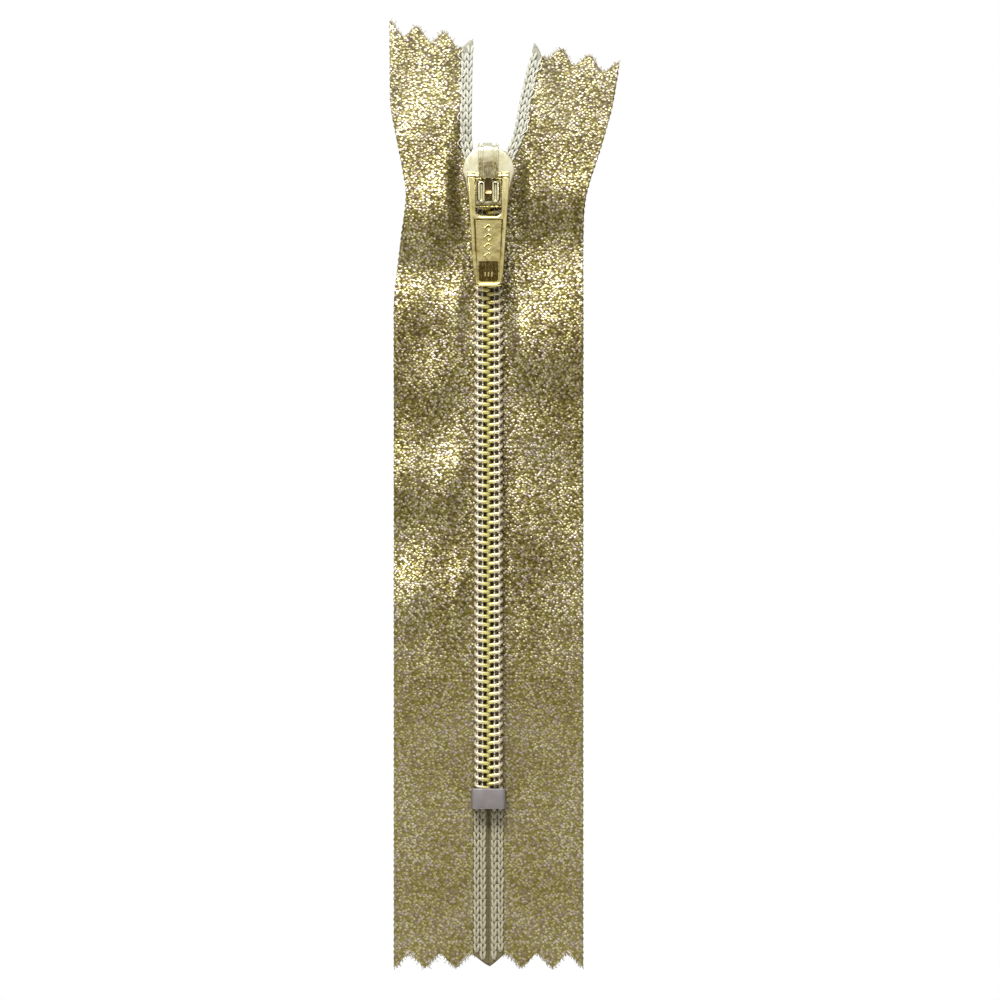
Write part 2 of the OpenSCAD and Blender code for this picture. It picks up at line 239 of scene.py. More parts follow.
def grid_faces(rows, columns, wrap=False, start=0):
    """Quads of a grid of points; wrap joins the last column to the first."""
    r = np.arange(rows - 1)[:, None]
    c = np.arange(columns if wrap else columns - 1)[None, :]
    next_c = (c + 1) % columns
    quads = np.stack([r * columns + c, r * columns + next_c, (r + 1) * columns + next_c,
                      (r + 1) * columns + c], axis=-1)
    return (quads.reshape(-1, 4) + start).tolist()


def capped(rings):
    """A closed solid from rings of points, with one face over each end ring."""
    count = len(rings[0])
    points = np.concatenate(rings)
    faces = grid_faces(len(rings), count, wrap=True)
    faces.append(list(range(count)))
    faces.append([(len(rings) - 1) * count + k for k in range(count)])
    return points, faces, points.copy()


def tube(paths, radius, up, sides=10):
    """Closed tubes along paths (tubes, rings, xyz); radius is a number, or one for each ring."""
    paths = np.asarray(paths, float)
    count, rings, _ = paths.shape
    ahead = np.gradient(paths, axis=1)
    ahead /= np.linalg.norm(ahead, axis=-1, keepdims=True)
    across = np.cross(np.array(up, float), ahead)
    across /= np.linalg.norm(across, axis=-1, keepdims=True)
    over = np.cross(ahead, across)
    turn = 2 * math.pi * np.arange(sides) / sides
    radius = np.broadcast_to(np.asarray(radius, float), (count, rings))[:, :, None, None]
    circle = np.cos(turn)[:, None] * across[:, :, None, :] + np.sin(turn)[:, None] * over[:, :, None, :]
    points = (paths[:, :, None, :] + radius * circle).reshape(-1, 3)
    faces = []
    for i in range(count):
        start = i * rings * sides
        faces += grid_faces(rings, sides, wrap=True, start=start)
        faces.append([start + k for k in range(sides)])
        faces.append([start + (rings - 1) * sides + k for k in range(sides)])
    steps = np.linalg.norm(np.diff(paths, axis=1), axis=-1)
    along = np.concatenate([np.zeros((count, 1)), np.cumsum(steps, axis=1)], axis=1)
    lie = np.zeros((count, rings, sides, 3))
    lie[..., 0] = along[:, :, None]
    lie[..., 1] = turn
    lie[..., 2] = np.arange(count)[:, None, None] * 3.7
    return points, faces, lie.reshape(-1, 3)


def shell(front, back):
    """A closed sheet between two grids of points (rows, columns, xyz)."""
    rows, columns, _ = front.shape
    half = rows * columns
    faces = grid_faces(rows, columns) + grid_faces(rows, columns, start=half)
    rim = [c for c in range(columns)]
    rim += [r * columns + columns - 1 for r in range(1, rows)]
    rim += [(rows - 1) * columns + c for c in range(columns - 2, -1, -1)]
    rim += [r * columns for r in range(rows - 2, 0, -1)]
    for a, b in zip(rim, rim[1:] + rim[:1]):
        faces.append([a, b, b + half, a + half])
    return np.concatenate([front.reshape(-1, 3), back.reshape(-1, 3)]), faces


def flat_place(x, z, back_shift):
    """Where a sheet's points are on the flat cloth; the back is shifted, so that its pattern differs."""
    lie = np.stack([x, z, np.zeros_like(x)], axis=-1).reshape(-1, 3)
    return np.concatenate([lie, lie + back_shift])


def inset_loop(loop, distance):
    """A loop of points moved to its left, which is into the material."""
    before = loop - np.roll(loop, 1, axis=0)
    after = np.roll(loop, -1, axis=0) - loop
    left_before = np.stack([-before[:, 1], before[:, 0]], axis=1)
    left_after = np.stack([-after[:, 1], after[:, 0]], axis=1)
    left_before /= np.linalg.norm(left_before, axis=1, keepdims=True)
    left_after /= np.linalg.norm(left_after, axis=1, keepdims=True)
    middle = left_before + left_after
    middle /= np.linalg.norm(middle, axis=1, keepdims=True)
    reach = np.maximum((middle * left_before).sum(axis=1), 0.4)
    return loop + middle * (distance / reach)[:, None]


def edge_levels(face, direction, radius, dish=0):
    """[inset, depth] pairs from a face round its rounded edge to the side wall.

    A dish is how far the face's middle is sunk, inside a thin rim.
    """
    if radius == 0:
        return [(0.0, face)]
    hollow = [(radius + 0.25, face + direction * dish), (radius + 0.06, face)] if dish else []
    return hollow + [(radius * (1 - math.sin(a)), face + direction * radius * (1 - math.cos(a)))
                     for a in np.linspace(0, math.pi / 2, 5)]


def pressed(loops, low, high, low_round, high_round, lay, dish=0):
    """A flat solid with rounded edges. The first loop runs anticlockwise, and the holes clockwise."""
    loops = [np.array(loop, float) for loop in loops]
    levels = edge_levels(low, 1, low_round, dish) + edge_levels(high, -1, high_round)[::-1]
    count = sum(len(loop) for loop in loops)
    points = []
    for inset, depth in levels:
        for loop in loops:
            points.append(lay(inset_loop(loop, inset), depth))
    points = np.concatenate(points)
    faces = []
    start = 0
    for loop in loops:
        n = len(loop)
        for level in range(len(levels) - 1):
            for k in range(n):
                a = level * count + start + k
                b = level * count + start + (k + 1) % n
                faces.append([a, b, b + count, a + count])
        start += n
    cap = tessellate_polygon([[Vector((x, y, 0)) for x, y in inset_loop(loop, levels[0][0])]
                              for loop in loops])
    last = (len(levels) - 1) * count
    faces += [list(triangle) for triangle in cap]
    faces += [[last + k for k in triangle] for triangle in cap]
    return points, faces, points.copy()


def front_view(flat, depth):
    """Points drawn from in front, as [x, height above the slider's bottom]; depth is y."""
    return np.stack([flat[:, 0], np.full(len(flat), depth), SLIDER_Z + flat[:, 1]], axis=1)


def side_view(flat, depth):
    """Points drawn from the side, as [height above the slider's bottom, y]; depth is x."""
    return np.stack([np.full(len(flat), depth), flat[:, 1], SLIDER_Z + flat[:, 0]], axis=1)


def top_view(flat, depth):
    """Points drawn from above, as [x, y]; depth is z."""
    return np.stack([flat[:, 0], flat[:, 1], np.full(len(flat), depth)], axis=1)


def mirrored(part):
    points, faces, lie = part
    return points * np.array([-1, 1, 1]), faces, lie


def arc(x, y, r, start, end, steps=8):
    angles = np.radians(np.linspace(start, end, steps + 1))
    return [[x + r * math.cos(a), y + r * math.sin(a)] for a in angles]


def rounded_box(x0, y0, x1, y1, r):
    """An anticlockwise rectangle with round corners."""
    return (arc(x0 + r, y0 + r, r, 180, 270, 4) + arc(x1 - r, y0 + r, r, 270, 360, 4)
            + arc(x1 - r, y1 - r, r, 0, 90, 4) + arc(x0 + r, y1 - r, r, 90, 180, 4))


def build(name, parts, material, crease=None, shade=None):
    """One object from closed parts of (points, faces, lie).

    lie is where a point is on the flat fabric, the straight thread or the metal, in millimetres.
    """
    points = np.concatenate([part[0] for part in parts])
    lie = np.concatenate([part[2] for part in parts])
    faces = []
    start = 0
    for part in parts:
        faces += [[start + k for k in face] for face in part[1]] if start else part[1]
        start += len(part[0])
    mesh = bpy.data.meshes.new(name)
    mesh.from_pydata((points * MM).tolist(), [], faces)
    flat = mesh.attributes.new("lie", "FLOAT_VECTOR", "POINT")
    flat.data.foreach_set("vector", lie.astype(np.float32).ravel())
    if shade is not None:
        tint = mesh.attributes.new("shade", "FLOAT", "POINT")
        tint.data.foreach_set("value", np.asarray(shade, np.float32))
    whole = bmesh.new()
    whole.from_mesh(mesh)
    bmesh.ops.recalc_face_normals(whole, faces=whole.faces)
    whole.to_mesh(mesh)
    whole.free()
    mesh.shade_smooth()
    if crease is not None:
        mesh.set_sharp_from_angle(angle=math.radians(crease))
    mesh.materials.append(material)
    piece = bpy.data.objects.new(name, mesh)
    bpy.context.scene.collection.objects.link(piece)
    return piece


def sew_to(piece):
    """Bakes a piece's placement into its mesh."""
    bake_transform(piece)


# ---- materials ----


def linear(colour):
    """An sRGB hex colour as linear RGBA."""
    parts = [int(colour[i:i + 2], 16) / 255 for i in (1, 3, 5)]
    return tuple(c / 12.92 if c <= 0.04045 else ((c + 0.055) / 1.055) ** 2.4 for c in parts) + (1.0,)


def add(tree, kind, inputs=None, stops=(), **settings):
    """A node with its settings, its ramp's colours and its inputs: values, or other nodes' outputs."""
    made = tree.nodes.new(kind)
    for name, value in settings.items():
        setattr(made, name, value)
    for key, value in (inputs or {}).items():
        if isinstance(value, bpy.types.NodeSocket):
            tree.links.new(value, made.inputs[key])
        else:
            made.inputs[key].default_value = value
    if stops:
        elements = made.color_ramp.elements
        while len(elements) < len(stops):
            elements.new(1.0)
        for element, (position, colour) in zip(elements, stops):
            element.position = position
            element.color = linear(colour)
    return made


def new_material(name):
    material = bpy.data.materials.new(name)
    material.use_nodes = True
    material.node_tree.nodes.clear()
    return material, material.node_tree


def finished(material, surface):
    add(material.node_tree, "ShaderNodeOutputMaterial", {"Surface": surface.outputs[0]})
    return material


def glitter_cloth():
    """Polyester tape woven with metallised film yarn: crinkled gold flakes over an olive ground.

    The film yarn is about 0.25 mm wide and shows for 0.3 mm between crossings. The flakes are drawn
    a little larger, so that each one can be seen; each one's brightness, highest at its middle, is a
    painted glint. They lie both ways across the tape, and every third one or so catches a mauve light.
    """
    material, tree = new_material("glitter_cloth")
    lie = add(tree, "ShaderNodeAttribute", attribute_name="lie").outputs["Vector"]
    flake_long = 0.42
    flake_short = 0.33
    cloud_size = 8.0
    crinkle_size = 0.45
    # Painted glint: each flake's random brightness, highest at its middle, stands for how its facet tilts
    # to the light
    flakes = []
    for lean in (38, -38):
        turned = add(tree, "ShaderNodeMapping", {
            "Vector": lie,
            "Location": (lean, 0, 0),
            "Rotation": (0, 0, math.radians(lean)),
            "Scale": (1 / flake_long, 1 / flake_short, 1)})
        cells = add(tree, "ShaderNodeTexVoronoi", {"Vector": turned.outputs[0], "Scale": 1.0},
                    voronoi_dimensions="2D", feature="F1")
        draw = add(tree, "ShaderNodeSeparateColor", {"Color": cells.outputs["Color"]})
        body = add(tree, "ShaderNodeMapRange", {
            "Value": cells.outputs["Distance"], "From Min": 0.15, "From Max": 0.75,
            "To Min": 1.0, "To Max": 0.0}, interpolation_type="SMOOTHSTEP")
        lit = add(tree, "ShaderNodeMath", {0: draw.outputs[0], 1: body.outputs[0]}, operation="MULTIPLY")
        flakes.append((lit.outputs[0], draw.outputs[1]))
    brightest = add(tree, "ShaderNodeMath", {0: flakes[0][0], 1: flakes[1][0]}, operation="MAXIMUM")
    slow = add(tree, "ShaderNodeTexNoise", {"Vector": lie, "Scale": 1 / cloud_size, "Detail": 1.0})
    slow_shift = add(tree, "ShaderNodeMapRange", {
        "Value": slow.outputs["Fac"], "From Min": 0.3, "From Max": 0.7, "To Min": -0.14, "To Max": 0.14})
    shifted = add(tree, "ShaderNodeMath", {0: brightest.outputs[0], 1: slow_shift.outputs[0]},
                  operation="ADD")
    # The painted glint is calmer towards the tail, as under softer light there, and the colour is a
    # little greyer towards the top ends
    height = add(tree, "ShaderNodeSeparateXYZ", {"Vector": lie}).outputs["Y"]
    crisp = add(tree, "ShaderNodeMapRange", {
        "Value": height, "From Min": 8.0, "From Max": 26.0, "To Min": 0.6, "To Max": 1.0})
    greyer_top = add(tree, "ShaderNodeMapRange", {
        "Value": height, "From Min": 80.0, "From Max": 96.0, "To Min": 0.0, "To Max": 0.14})
    level = add(tree, "ShaderNodeMix", {"Factor": crisp.outputs[0], 2: 0.58, 3: shifted.outputs[0]})
    gold = add(tree, "ShaderNodeValToRGB", {"Fac": level.outputs[0]}, stops=[
        (0.0, "#403708"), (0.22, "#5e5524"), (0.45, "#7d7443"), (0.68, "#a09870"), (0.9, "#c8c29e")])
    mauve = add(tree, "ShaderNodeValToRGB", {"Fac": level.outputs[0]}, stops=[
        (0.0, "#3b2f14"), (0.22, "#605337"), (0.45, "#80745a"), (0.68, "#a3978a"), (0.9, "#c6bdb4")])
    which = add(tree, "ShaderNodeMapRange", {
        "Value": flakes[0][1], "From Min": 0.55, "From Max": 0.75, "To Min": 0.0, "To Max": 1.0})
    colour = add(tree, "ShaderNodeMix", {"Factor": which.outputs[0], 6: gold.outputs["Color"],
                                         7: mauve.outputs["Color"]}, data_type="RGBA")
    colour = add(tree, "ShaderNodeMix", {"Factor": greyer_top.outputs[0], 6: colour.outputs[2],
                                         7: linear("#858377")}, data_type="RGBA")
    crinkle = add(tree, "ShaderNodeTexNoise", {"Vector": lie, "Scale": 1 / crinkle_size, "Detail": 1.0})
    relief = add(tree, "ShaderNodeMath", {0: brightest.outputs[0], 1: crinkle.outputs["Fac"]},
                 operation="ADD")
    bump = add(tree, "ShaderNodeBump", {
        "Height": relief.outputs[0], "Strength": crisp.outputs[0], "Distance": 0.055 * MM})
    gloss = add(tree, "ShaderNodeMapRange", {
        "Value": level.outputs[0], "From Min": 0.1, "From Max": 0.6, "To Min": 0.6, "To Max": 0.4})
    foil = add(tree, "ShaderNodeMapRange", {
        "Value": level.outputs[0], "From Min": 0.1, "From Max": 0.5, "To Min": 0.45, "To Max": 0.85})
    surface = add(tree, "ShaderNodeBsdfPrincipled", {
        "Base Color": colour.outputs[2], "Roughness": gloss.outputs[0], "Metallic": foil.outputs[0],
        "Normal": bump.outputs[0], "Specular IOR Level": 0.25})
    return finished(material, surface)


def knit_yarn():
    """Textured polyester yarn: matt and hairy, khaki at the tail and pale above the slider; the paleness
    towards the top is painted light.

    Its filaments are 0.02 mm thick, too fine to show, so they are drawn as bundles about 0.3 mm long.
    """
    material, tree = new_material("knit_yarn")
    lie = add(tree, "ShaderNodeAttribute", attribute_name="lie").outputs["Vector"]
    shade = add(tree, "ShaderNodeAttribute", attribute_name="shade").outputs["Fac"]
    filament = add(tree, "ShaderNodeMapping", {"Vector": lie, "Scale": (2.2, 2.6, 1)})
    strands = add(tree, "ShaderNodeTexNoise", {
        "Vector": filament.outputs[0], "Scale": 1.6, "Detail": 4.0})
    # Painted light: the shade attribute turns the yarn from khaki at the tail to pale at the top ends
    pale = add(tree, "ShaderNodeValToRGB", {"Fac": strands.outputs["Fac"]}, stops=[
        (0.25, "#8b8a7e"), (0.5, "#a5a496"), (0.75, "#bdbcae")])
    khaki = add(tree, "ShaderNodeValToRGB", {"Fac": strands.outputs["Fac"]}, stops=[
        (0.25, "#6b6650"), (0.5, "#8f8870"), (0.75, "#aca588")])
    colour = add(tree, "ShaderNodeMix", {"Factor": shade, 6: khaki.outputs["Color"],
                                         7: pale.outputs["Color"]}, data_type="RGBA")
    bump = add(tree, "ShaderNodeBump", {
        "Height": strands.outputs["Fac"], "Strength": 0.7, "Distance": 0.04 * MM})
    surface = add(tree, "ShaderNodeBsdfPrincipled", {
        "Base Color": colour.outputs[2], "Roughness": 0.85, "Normal": bump.outputs[0],
        "Sheen Weight": 0.25, "Sheen Roughness": 0.5})
    return finished(material, surface)


def band_ground():
    """The fine warp knit under the raised stitches: darker than them, which is painted shade between the
    stitches, with a grain of 0.3 mm loops.
    """
    material, tree = new_material("band_ground")
    lie = add(tree, "ShaderNodeAttribute", attribute_name="lie").outputs["Vector"]
    shade = add(tree, "ShaderNodeAttribute", attribute_name="shade").outputs["Fac"]
    loop = 0.3
    grain = add(tree, "ShaderNodeTexNoise", {"Vector": lie, "Scale": 1 / loop, "Detail": 2.0})
    dark = add(tree, "ShaderNodeValToRGB", {"Fac": grain.outputs["Fac"]}, stops=[
        (0.3, "#4a4226"), (0.7, "#6b6244")])
    light = add(tree, "ShaderNodeValToRGB", {"Fac": grain.outputs["Fac"]}, stops=[
        (0.3, "#727166"), (0.7, "#908f80")])
    # Painted light: the shade attribute turns the ground from dark at the tail to light at the top ends
    colour = add(tree, "ShaderNodeMix", {"Factor": shade, 6: dark.outputs["Color"],
                                         7: light.outputs["Color"]}, data_type="RGBA")
    bump = add(tree, "ShaderNodeBump", {
        "Height": grain.outputs["Fac"], "Strength": 0.6, "Distance": 0.03 * MM})
    surface = add(tree, "ShaderNodeBsdfPrincipled", {
        "Base Color": colour.outputs[2], "Roughness": 0.9, "Normal": bump.outputs[0]})
    return finished(material, surface)


def gold_nylon():
    """Nylon monofilament with a thin gold metal coat: yellow at the heads, rubbed paler where it is sewn.

    Its drawing lines are much finer than they can show, so they are drawn about 0.8 mm long.
    """
    material, tree = new_material("gold_nylon")
    lie = add(tree, "ShaderNodeAttribute", attribute_name="lie").outputs["Vector"]
    shade = add(tree, "ShaderNodeAttribute", attribute_name="shade").outputs["Fac"]
    drawn = add(tree, "ShaderNodeMapping", {"Vector": lie, "Scale": (0.8, 2.0, 1)})
    lines = add(tree, "ShaderNodeTexNoise", {"Vector": drawn.outputs[0], "Scale": 1.5, "Detail": 3.0})
    by_place = add(tree, "ShaderNodeValToRGB", {"Fac": shade}, stops=[
        (0.0, "#c6ba6c"), (0.35, "#c3b870"), (0.6, "#c5ba8e"), (1.0, "#bdaf98")])
    worn = add(tree, "ShaderNodeMapRange", {
        "Value": lines.outputs["Fac"], "From Min": 0.3, "From Max": 0.7, "To Min": 0.82, "To Max": 1.0})
    colour = add(tree, "ShaderNodeMix", {"Factor": worn.outputs[0], 6: linear("#8d7f45"),
                                         7: by_place.outputs["Color"]}, data_type="RGBA")
    bump = add(tree, "ShaderNodeBump", {
        "Height": lines.outputs["Fac"], "Strength": 0.25, "Distance": 0.02 * MM})
    surface = add(tree, "ShaderNodeBsdfPrincipled", {
        "Base Color": colour.outputs[2], "Roughness": 0.3, "Metallic": 0.55, "Normal": bump.outputs[0],
        "Coat Weight": 0.3, "Coat Roughness": 0.15})
    return finished(material, surface)


def spun_thread(name, low, high):
    """Spun polyester thread: matt, with its plies showing as slanted bands.

    The bands are drawn about 0.7 mm apart, a little coarser than the real twist, so that they show.
    """
    material, tree = new_material(name)
    lie = add(tree, "ShaderNodeAttribute", attribute_name="lie").outputs["Vector"]
    lay = 0.35
    ply = add(tree, "ShaderNodeMapping", {"Vector": lie, "Scale": (1 / lay, 1 / (2 * math.pi), 1)})
    twist = add(tree, "ShaderNodeTexWave", {"Vector": ply.outputs[0], "Scale": 0.32, "Distortion": 1.2},
                wave_type="BANDS", bands_direction="DIAGONAL")
    colour = add(tree, "ShaderNodeValToRGB", {"Fac": twist.outputs["Fac"]}, stops=[
        (0.1, low), (0.8, high)])
    bump = add(tree, "ShaderNodeBump", {
        "Height": twist.outputs["Fac"], "Strength": 0.6, "Distance": 0.03 * MM})
    surface = add(tree, "ShaderNodeBsdfPrincipled", {
        "Base Color": colour.outputs["Color"], "Roughness": 0.75, "Normal": bump.outputs[0],
        "Sheen Weight": 0.2, "Sheen Roughness": 0.5})
    return finished(material, surface)


def plated_zinc(name, tones):
    """Die-cast zinc, barrelled and plated in pale gold: a mirror with fine scratches and soft waves.

    The waves are about 2 mm apart. The scratches are drawn about 0.1 mm wide, coarser than the real ones.
    """
    material, tree = new_material(name)
    place = add(tree, "ShaderNodeTexCoord").outputs["Object"]
    in_mm = add(tree, "ShaderNodeMapping", {
        "Vector": place, "Scale": (1 / MM, 1 / MM, 1 / MM)}).outputs[0]
    cast = add(tree, "ShaderNodeTexNoise", {"Vector": in_mm, "Scale": 0.55, "Detail": 2.0})
    rubbed = add(tree, "ShaderNodeMapping", {
        "Vector": in_mm, "Scale": (6, 6, 0.7), "Rotation": (0, 0.3, 0)})
    scratches = add(tree, "ShaderNodeTexNoise", {
        "Vector": rubbed.outputs[0], "Scale": 1.4, "Detail": 5.0})
    tone = add(tree, "ShaderNodeValToRGB", {"Fac": cast.outputs["Fac"]}, stops=[
        (0.3, tones[0]), (0.55, tones[1]), (0.75, tones[2])])
    gloss = add(tree, "ShaderNodeMapRange", {
        "Value": scratches.outputs["Fac"], "From Min": 0.35, "From Max": 0.7,
        "To Min": 0.14, "To Max": 0.3})
    height = add(tree, "ShaderNodeMath", {0: scratches.outputs["Fac"], 1: 0.06}, operation="MULTIPLY")
    relief = add(tree, "ShaderNodeMath", {0: height.outputs[0], 1: cast.outputs["Fac"]}, operation="ADD")
    bump = add(tree, "ShaderNodeBump", {
        "Height": relief.outputs[0], "Strength": 0.6, "Distance": 0.12 * MM})
    surface = add(tree, "ShaderNodeBsdfPrincipled", {
        "Base Color": tone.outputs["Color"], "Metallic": 1.0, "Roughness": gloss.outputs[0],
        "Normal": bump.outputs[0]})
    return finished(material, surface)


def spring_brass():
    """Rolled brass strip: warmer and duller than the plating, with rolling lines about 0.1 mm apart."""
    material, tree = new_material("spring_brass")
    place = add(tree, "ShaderNodeTexCoord").outputs["Object"]
    lines_per_mm = 9
    rolled = add(tree, "ShaderNodeMapping", {
        "Vector": place, "Scale": (lines_per_mm / MM, lines_per_mm / MM, 0.6 / MM)})
    lines = add(tree, "ShaderNodeTexNoise", {"Vector": rolled.outputs[0], "Scale": 1.0, "Detail": 4.0})
    tone = add(tree, "ShaderNodeValToRGB", {"Fac": lines.outputs["Fac"]}, stops=[
        (0.3, "#6d5a3a"), (0.7, "#8f7a52")])
    bump = add(tree, "ShaderNodeBump", {
        "Height": lines.outputs["Fac"], "Strength": 0.4, "Distance": 0.02 * MM})
    surface = add(tree, "ShaderNodeBsdfPrincipled", {
        "Base Color": tone.outputs["Color"], "Metallic": 1.0, "Roughness": 0.32,
        "Normal": bump.outputs[0]})
    return finished(material, surface)


def satin_strip():
    """Pressed aluminium strip: satin and slightly mauve, with faint press marks about 0.1 mm apart."""
    material, tree = new_material("satin_strip")
    place = add(tree, "ShaderNodeTexCoord").outputs["Object"]
    in_mm = add(tree, "ShaderNodeMapping", {
        "Vector": place, "Scale": (1 / MM, 1 / MM, 1 / MM)}).outputs[0]
    cloud = add(tree, "ShaderNodeTexNoise", {"Vector": in_mm, "Scale": 0.9, "Detail": 3.0})
    pressed_lines = add(tree, "ShaderNodeMapping", {"Vector": in_mm, "Scale": (0.5, 1, 4)})
    grain = add(tree, "ShaderNodeTexNoise", {
        "Vector": pressed_lines.outputs[0], "Scale": 2.0, "Detail": 4.0})
    tone = add(tree, "ShaderNodeValToRGB", {"Fac": cloud.outputs["Fac"]}, stops=[
        (0.3, "#777174"), (0.7, "#847f7d")])
    bump = add(tree, "ShaderNodeBump", {
        "Height": grain.outputs["Fac"], "Strength": 0.5, "Distance": 0.03 * MM})
    surface = add(tree, "ShaderNodeBsdfPrincipled", {
        "Base Color": tone.outputs["Color"], "Metallic": 0.7, "Roughness": 0.5,
        "Normal": bump.outputs[0]})
    return finished(material, surface)


GLITTER = glitter_cloth()
YARN = knit_yarn()
GROUND = band_ground()
NYLON = gold_nylon()
WHITE_THREAD = spun_thread("white_thread", "#9b9284", "#d6cebe")
KHAKI_CORD = spun_thread("khaki_cord", "#554a2c", "#978a60")
# One plating in two copies: the slider's paler tones are painted light, and the pull's darker, more
# saturated tones are painted shade
LIT_PLATING = plated_zinc("painted_lit_plating", ("#e6dfb6", "#ece6c6", "#f2edd4"))
SHADED_PLATING = plated_zinc("painted_shade_plating", ("#c6b778", "#d0c288", "#dacd9a"))
BRASS = spring_brass()
STRIP = satin_strip()

# ---- tapes ----


def glitter_tape(side):
    """The woven part of a tape, in one length from its pinked tail to its pinked top."""
    rows, columns = 321, 61
    tuck_under_band = 0.05
    crumple_depth = 0.016
    weft_pitch = 0.9
    along = np.linspace(0, 1, rows)[:, None]
    across = np.linspace(0, 1, columns)[None, :]
    z = pinked_height(side, BAND_SHARE + (1 - BAND_SHARE) * across, along)
    inner = inner_edge(side, z) + BAND_WIDTH - tuck_under_band + 0.25 * on_tail(z)
    x = inner + (outer_edge(side, z) - inner) * across
    selvedge = 0.07 * np.sin(2 * math.pi * z / weft_pitch) * (across > 0.995)
    crumple = np.random.default_rng(7 + SIGN[side]).normal(0, crumple_depth, (rows, columns))
    front = on_tape(side, x + selvedge, z, crumple)
    back = on_tape(side, x + selvedge, z, TAPE_THICK + crumple)
    points, faces = shell(front, back)
    lie = flat_place(x, z, np.array([40, 7, 0]))
    piece = build(side + "_glitter_tape", [(points, faces, lie)], GLITTER)
    sew_to(piece)
    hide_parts(side + "_tape", side + "_tape_tail")
    return piece


def frayed_ends(side):
    """Short loose fibres along both pinked cuts."""
    draws = np.random.default_rng(5 + SIGN[side])
    count = 150
    fibre_radius = 0.04
    fibres = []
    for along, away in ((0.0, -1), (1.0, 1)):
        share = np.linspace(0.01, 0.99, count)[:, None] + draws.normal(0, 0.002, (count, 1))
        z = pinked_height(side, BAND_SHARE + (1 - BAND_SHARE) * share, along)
        inner = inner_edge(side, z) + BAND_WIDTH
        x = inner + (outer_edge(side, z) - inner) * share
        t = np.linspace(-0.3, 1, 5)[None, :]
        length = draws.uniform(0.15, 0.5, (count, 1))
        lean = draws.normal(0, 0.5, (count, 1))
        curl = draws.normal(0, 0.3, (count, 1))
        out = draws.uniform(0.05, TAPE_THICK - 0.05, (count, 1))
        fibres.append(on_tape(side, x + length * (lean * t + curl * t * t), z + away * length * t, out))
    fibres = tube(np.concatenate(fibres), fibre_radius, up=(0, 1, 0), sides=5)
    piece = build(side + "_frayed_ends", [fibres], KHAKI_CORD)
    sew_to(piece)


def on_tail(z):
    """1 below the bottom stop, where it pulls the two tapes together, and 0 above it."""
    return smooth((STOP_LOW[2] + 0.6 - z) / 0.6)


def knit_legs(side, low, high, face, draws):
    """The slanted legs of the V stitches on one face of the edge band, as tube paths.

    A leg that the pinking shears would have cut is left out.
    """
    foot = np.arange(low, high, STITCH_PITCH)
    t = np.linspace(0, 1, 5)
    margin = 0.15
    column_middle = 0.52
    foot_apart, opening = 0.07, 0.24
    skim, arch = 0.04, 0.09
    legs = []
    for wale in (0, 1):
        for lean in (-1, 1):
            z = foot[:, None] + draws.normal(0, 0.035, (len(foot), 1)) + LEG_RISE * t
            start = inner_edge(side, z) + 0.1 * on_tail(z) + draws.normal(0, 0.02, (len(foot), 1))
            width = WALE_WIDTH + 0.09 * on_tail(z)
            x = start + width * (wale + column_middle) + lean * (foot_apart + opening * t)
            rise = skim + arch * np.sin(math.pi * t)
            out = -rise if face == "front" else TAPE_THICK + rise
            share = BAND_SHARE * (wale + 0.5) / 2
            whole = ((z[:, 0] > pinked_height(side, share, 0) + margin)
                     & (z[:, -1] < pinked_height(side, share, 1) - margin))
            legs.append(on_tape(side, x, z, out)[whole])
    return np.concatenate(legs)


def painted_top_light(points):
    """0 on the tail and 1 at the top ends of the edge band: painted light that makes the band paler
    towards the top.
    """
    return smooth((points[:, 2] - 20) / 60)


def edge_band(side):
    """The plain knitted edge of a tape: a thin ground with two columns of V stitches.

    On the tail the two bands meet, and the left one goes on behind the right one.
    """
    top = SLIDER_Z + TOP_HEIGHTS[side][0]
    skin = 0.05
    along = np.linspace(0, 1, 240)[:, None]
    across = np.linspace(0, 1, 9)[None, :]
    z = pinked_height(side, BAND_SHARE * across, along)
    gather = on_tail(z)
    tuck = 0.45 if side == "left" else 0.17  # how far the band reaches past its tape's inner edge there
    inner = inner_edge(side, z) - tuck * gather
    x = inner + (BAND_WIDTH + (tuck + 0.2) * gather) * across
    behind = 0.32 * gather * (x < 0.06)
    points, faces = shell(on_tape(side, x, z, skin + behind),
                          on_tape(side, x, z, TAPE_THICK - skin + behind))
    ground = [(points, faces, flat_place(x, z, 9))]
    base = build(side + "_edge_band", ground, GROUND, shade=painted_top_light(points))
    draws = np.random.default_rng(31 + SIGN[side])
    legs = np.concatenate([
        knit_legs(side, TAIL_LOW, STOP_LOW[2] - 0.3, "front", draws),
        knit_legs(side, SLIDER_Z + 4.9, top, "front", draws),
        knit_legs(side, TAIL_LOW, top, "back", draws)])
    yarn_radius = 0.19
    swell = yarn_radius * (0.65 + 0.35 * np.sin(math.pi * np.linspace(0, 1, 5)))
    stitches = tube(legs, swell, up=(0, 1, 0), sides=6)
    knit = build(side + "_edge_stitches", [stitches], YARN, shade=painted_top_light(stitches[0]))
    for piece in (base, knit):
        sew_to(piece)


# ---- chain ----


def signed_power(value, power):
    """A power that keeps the sign; below 1 it makes a round loop squarer."""
    return np.sign(value) * np.abs(value) ** power


def coil_points(phase, rings):
    """The wire's middle line: it leaves its head level, climbs round the outside and comes back level."""
    squareness = 0.55
    turns = math.floor((COIL_END - COIL_START - 2 * WIRE_R - phase) / COIL_PITCH)
    turn = np.linspace(0, turns, turns * rings + 1)
    a = 2 * math.pi * turn
    z = COIL_START + WIRE_R + phase + COIL_PITCH * (turn - np.sin(a) / (2 * math.pi))
    x = LOOP_MIDDLE - LOOP_HALF * signed_power(np.cos(a), squareness)
    y = LOOP_Y - LOOP_RISE * signed_power(np.sin(a), squareness)
    return x, y, z


def side_phase(side):
    """The right coil's turns lie half a pitch above the left one's, so that they mesh."""
    return 0 if side == "left" else COIL_PITCH / 2


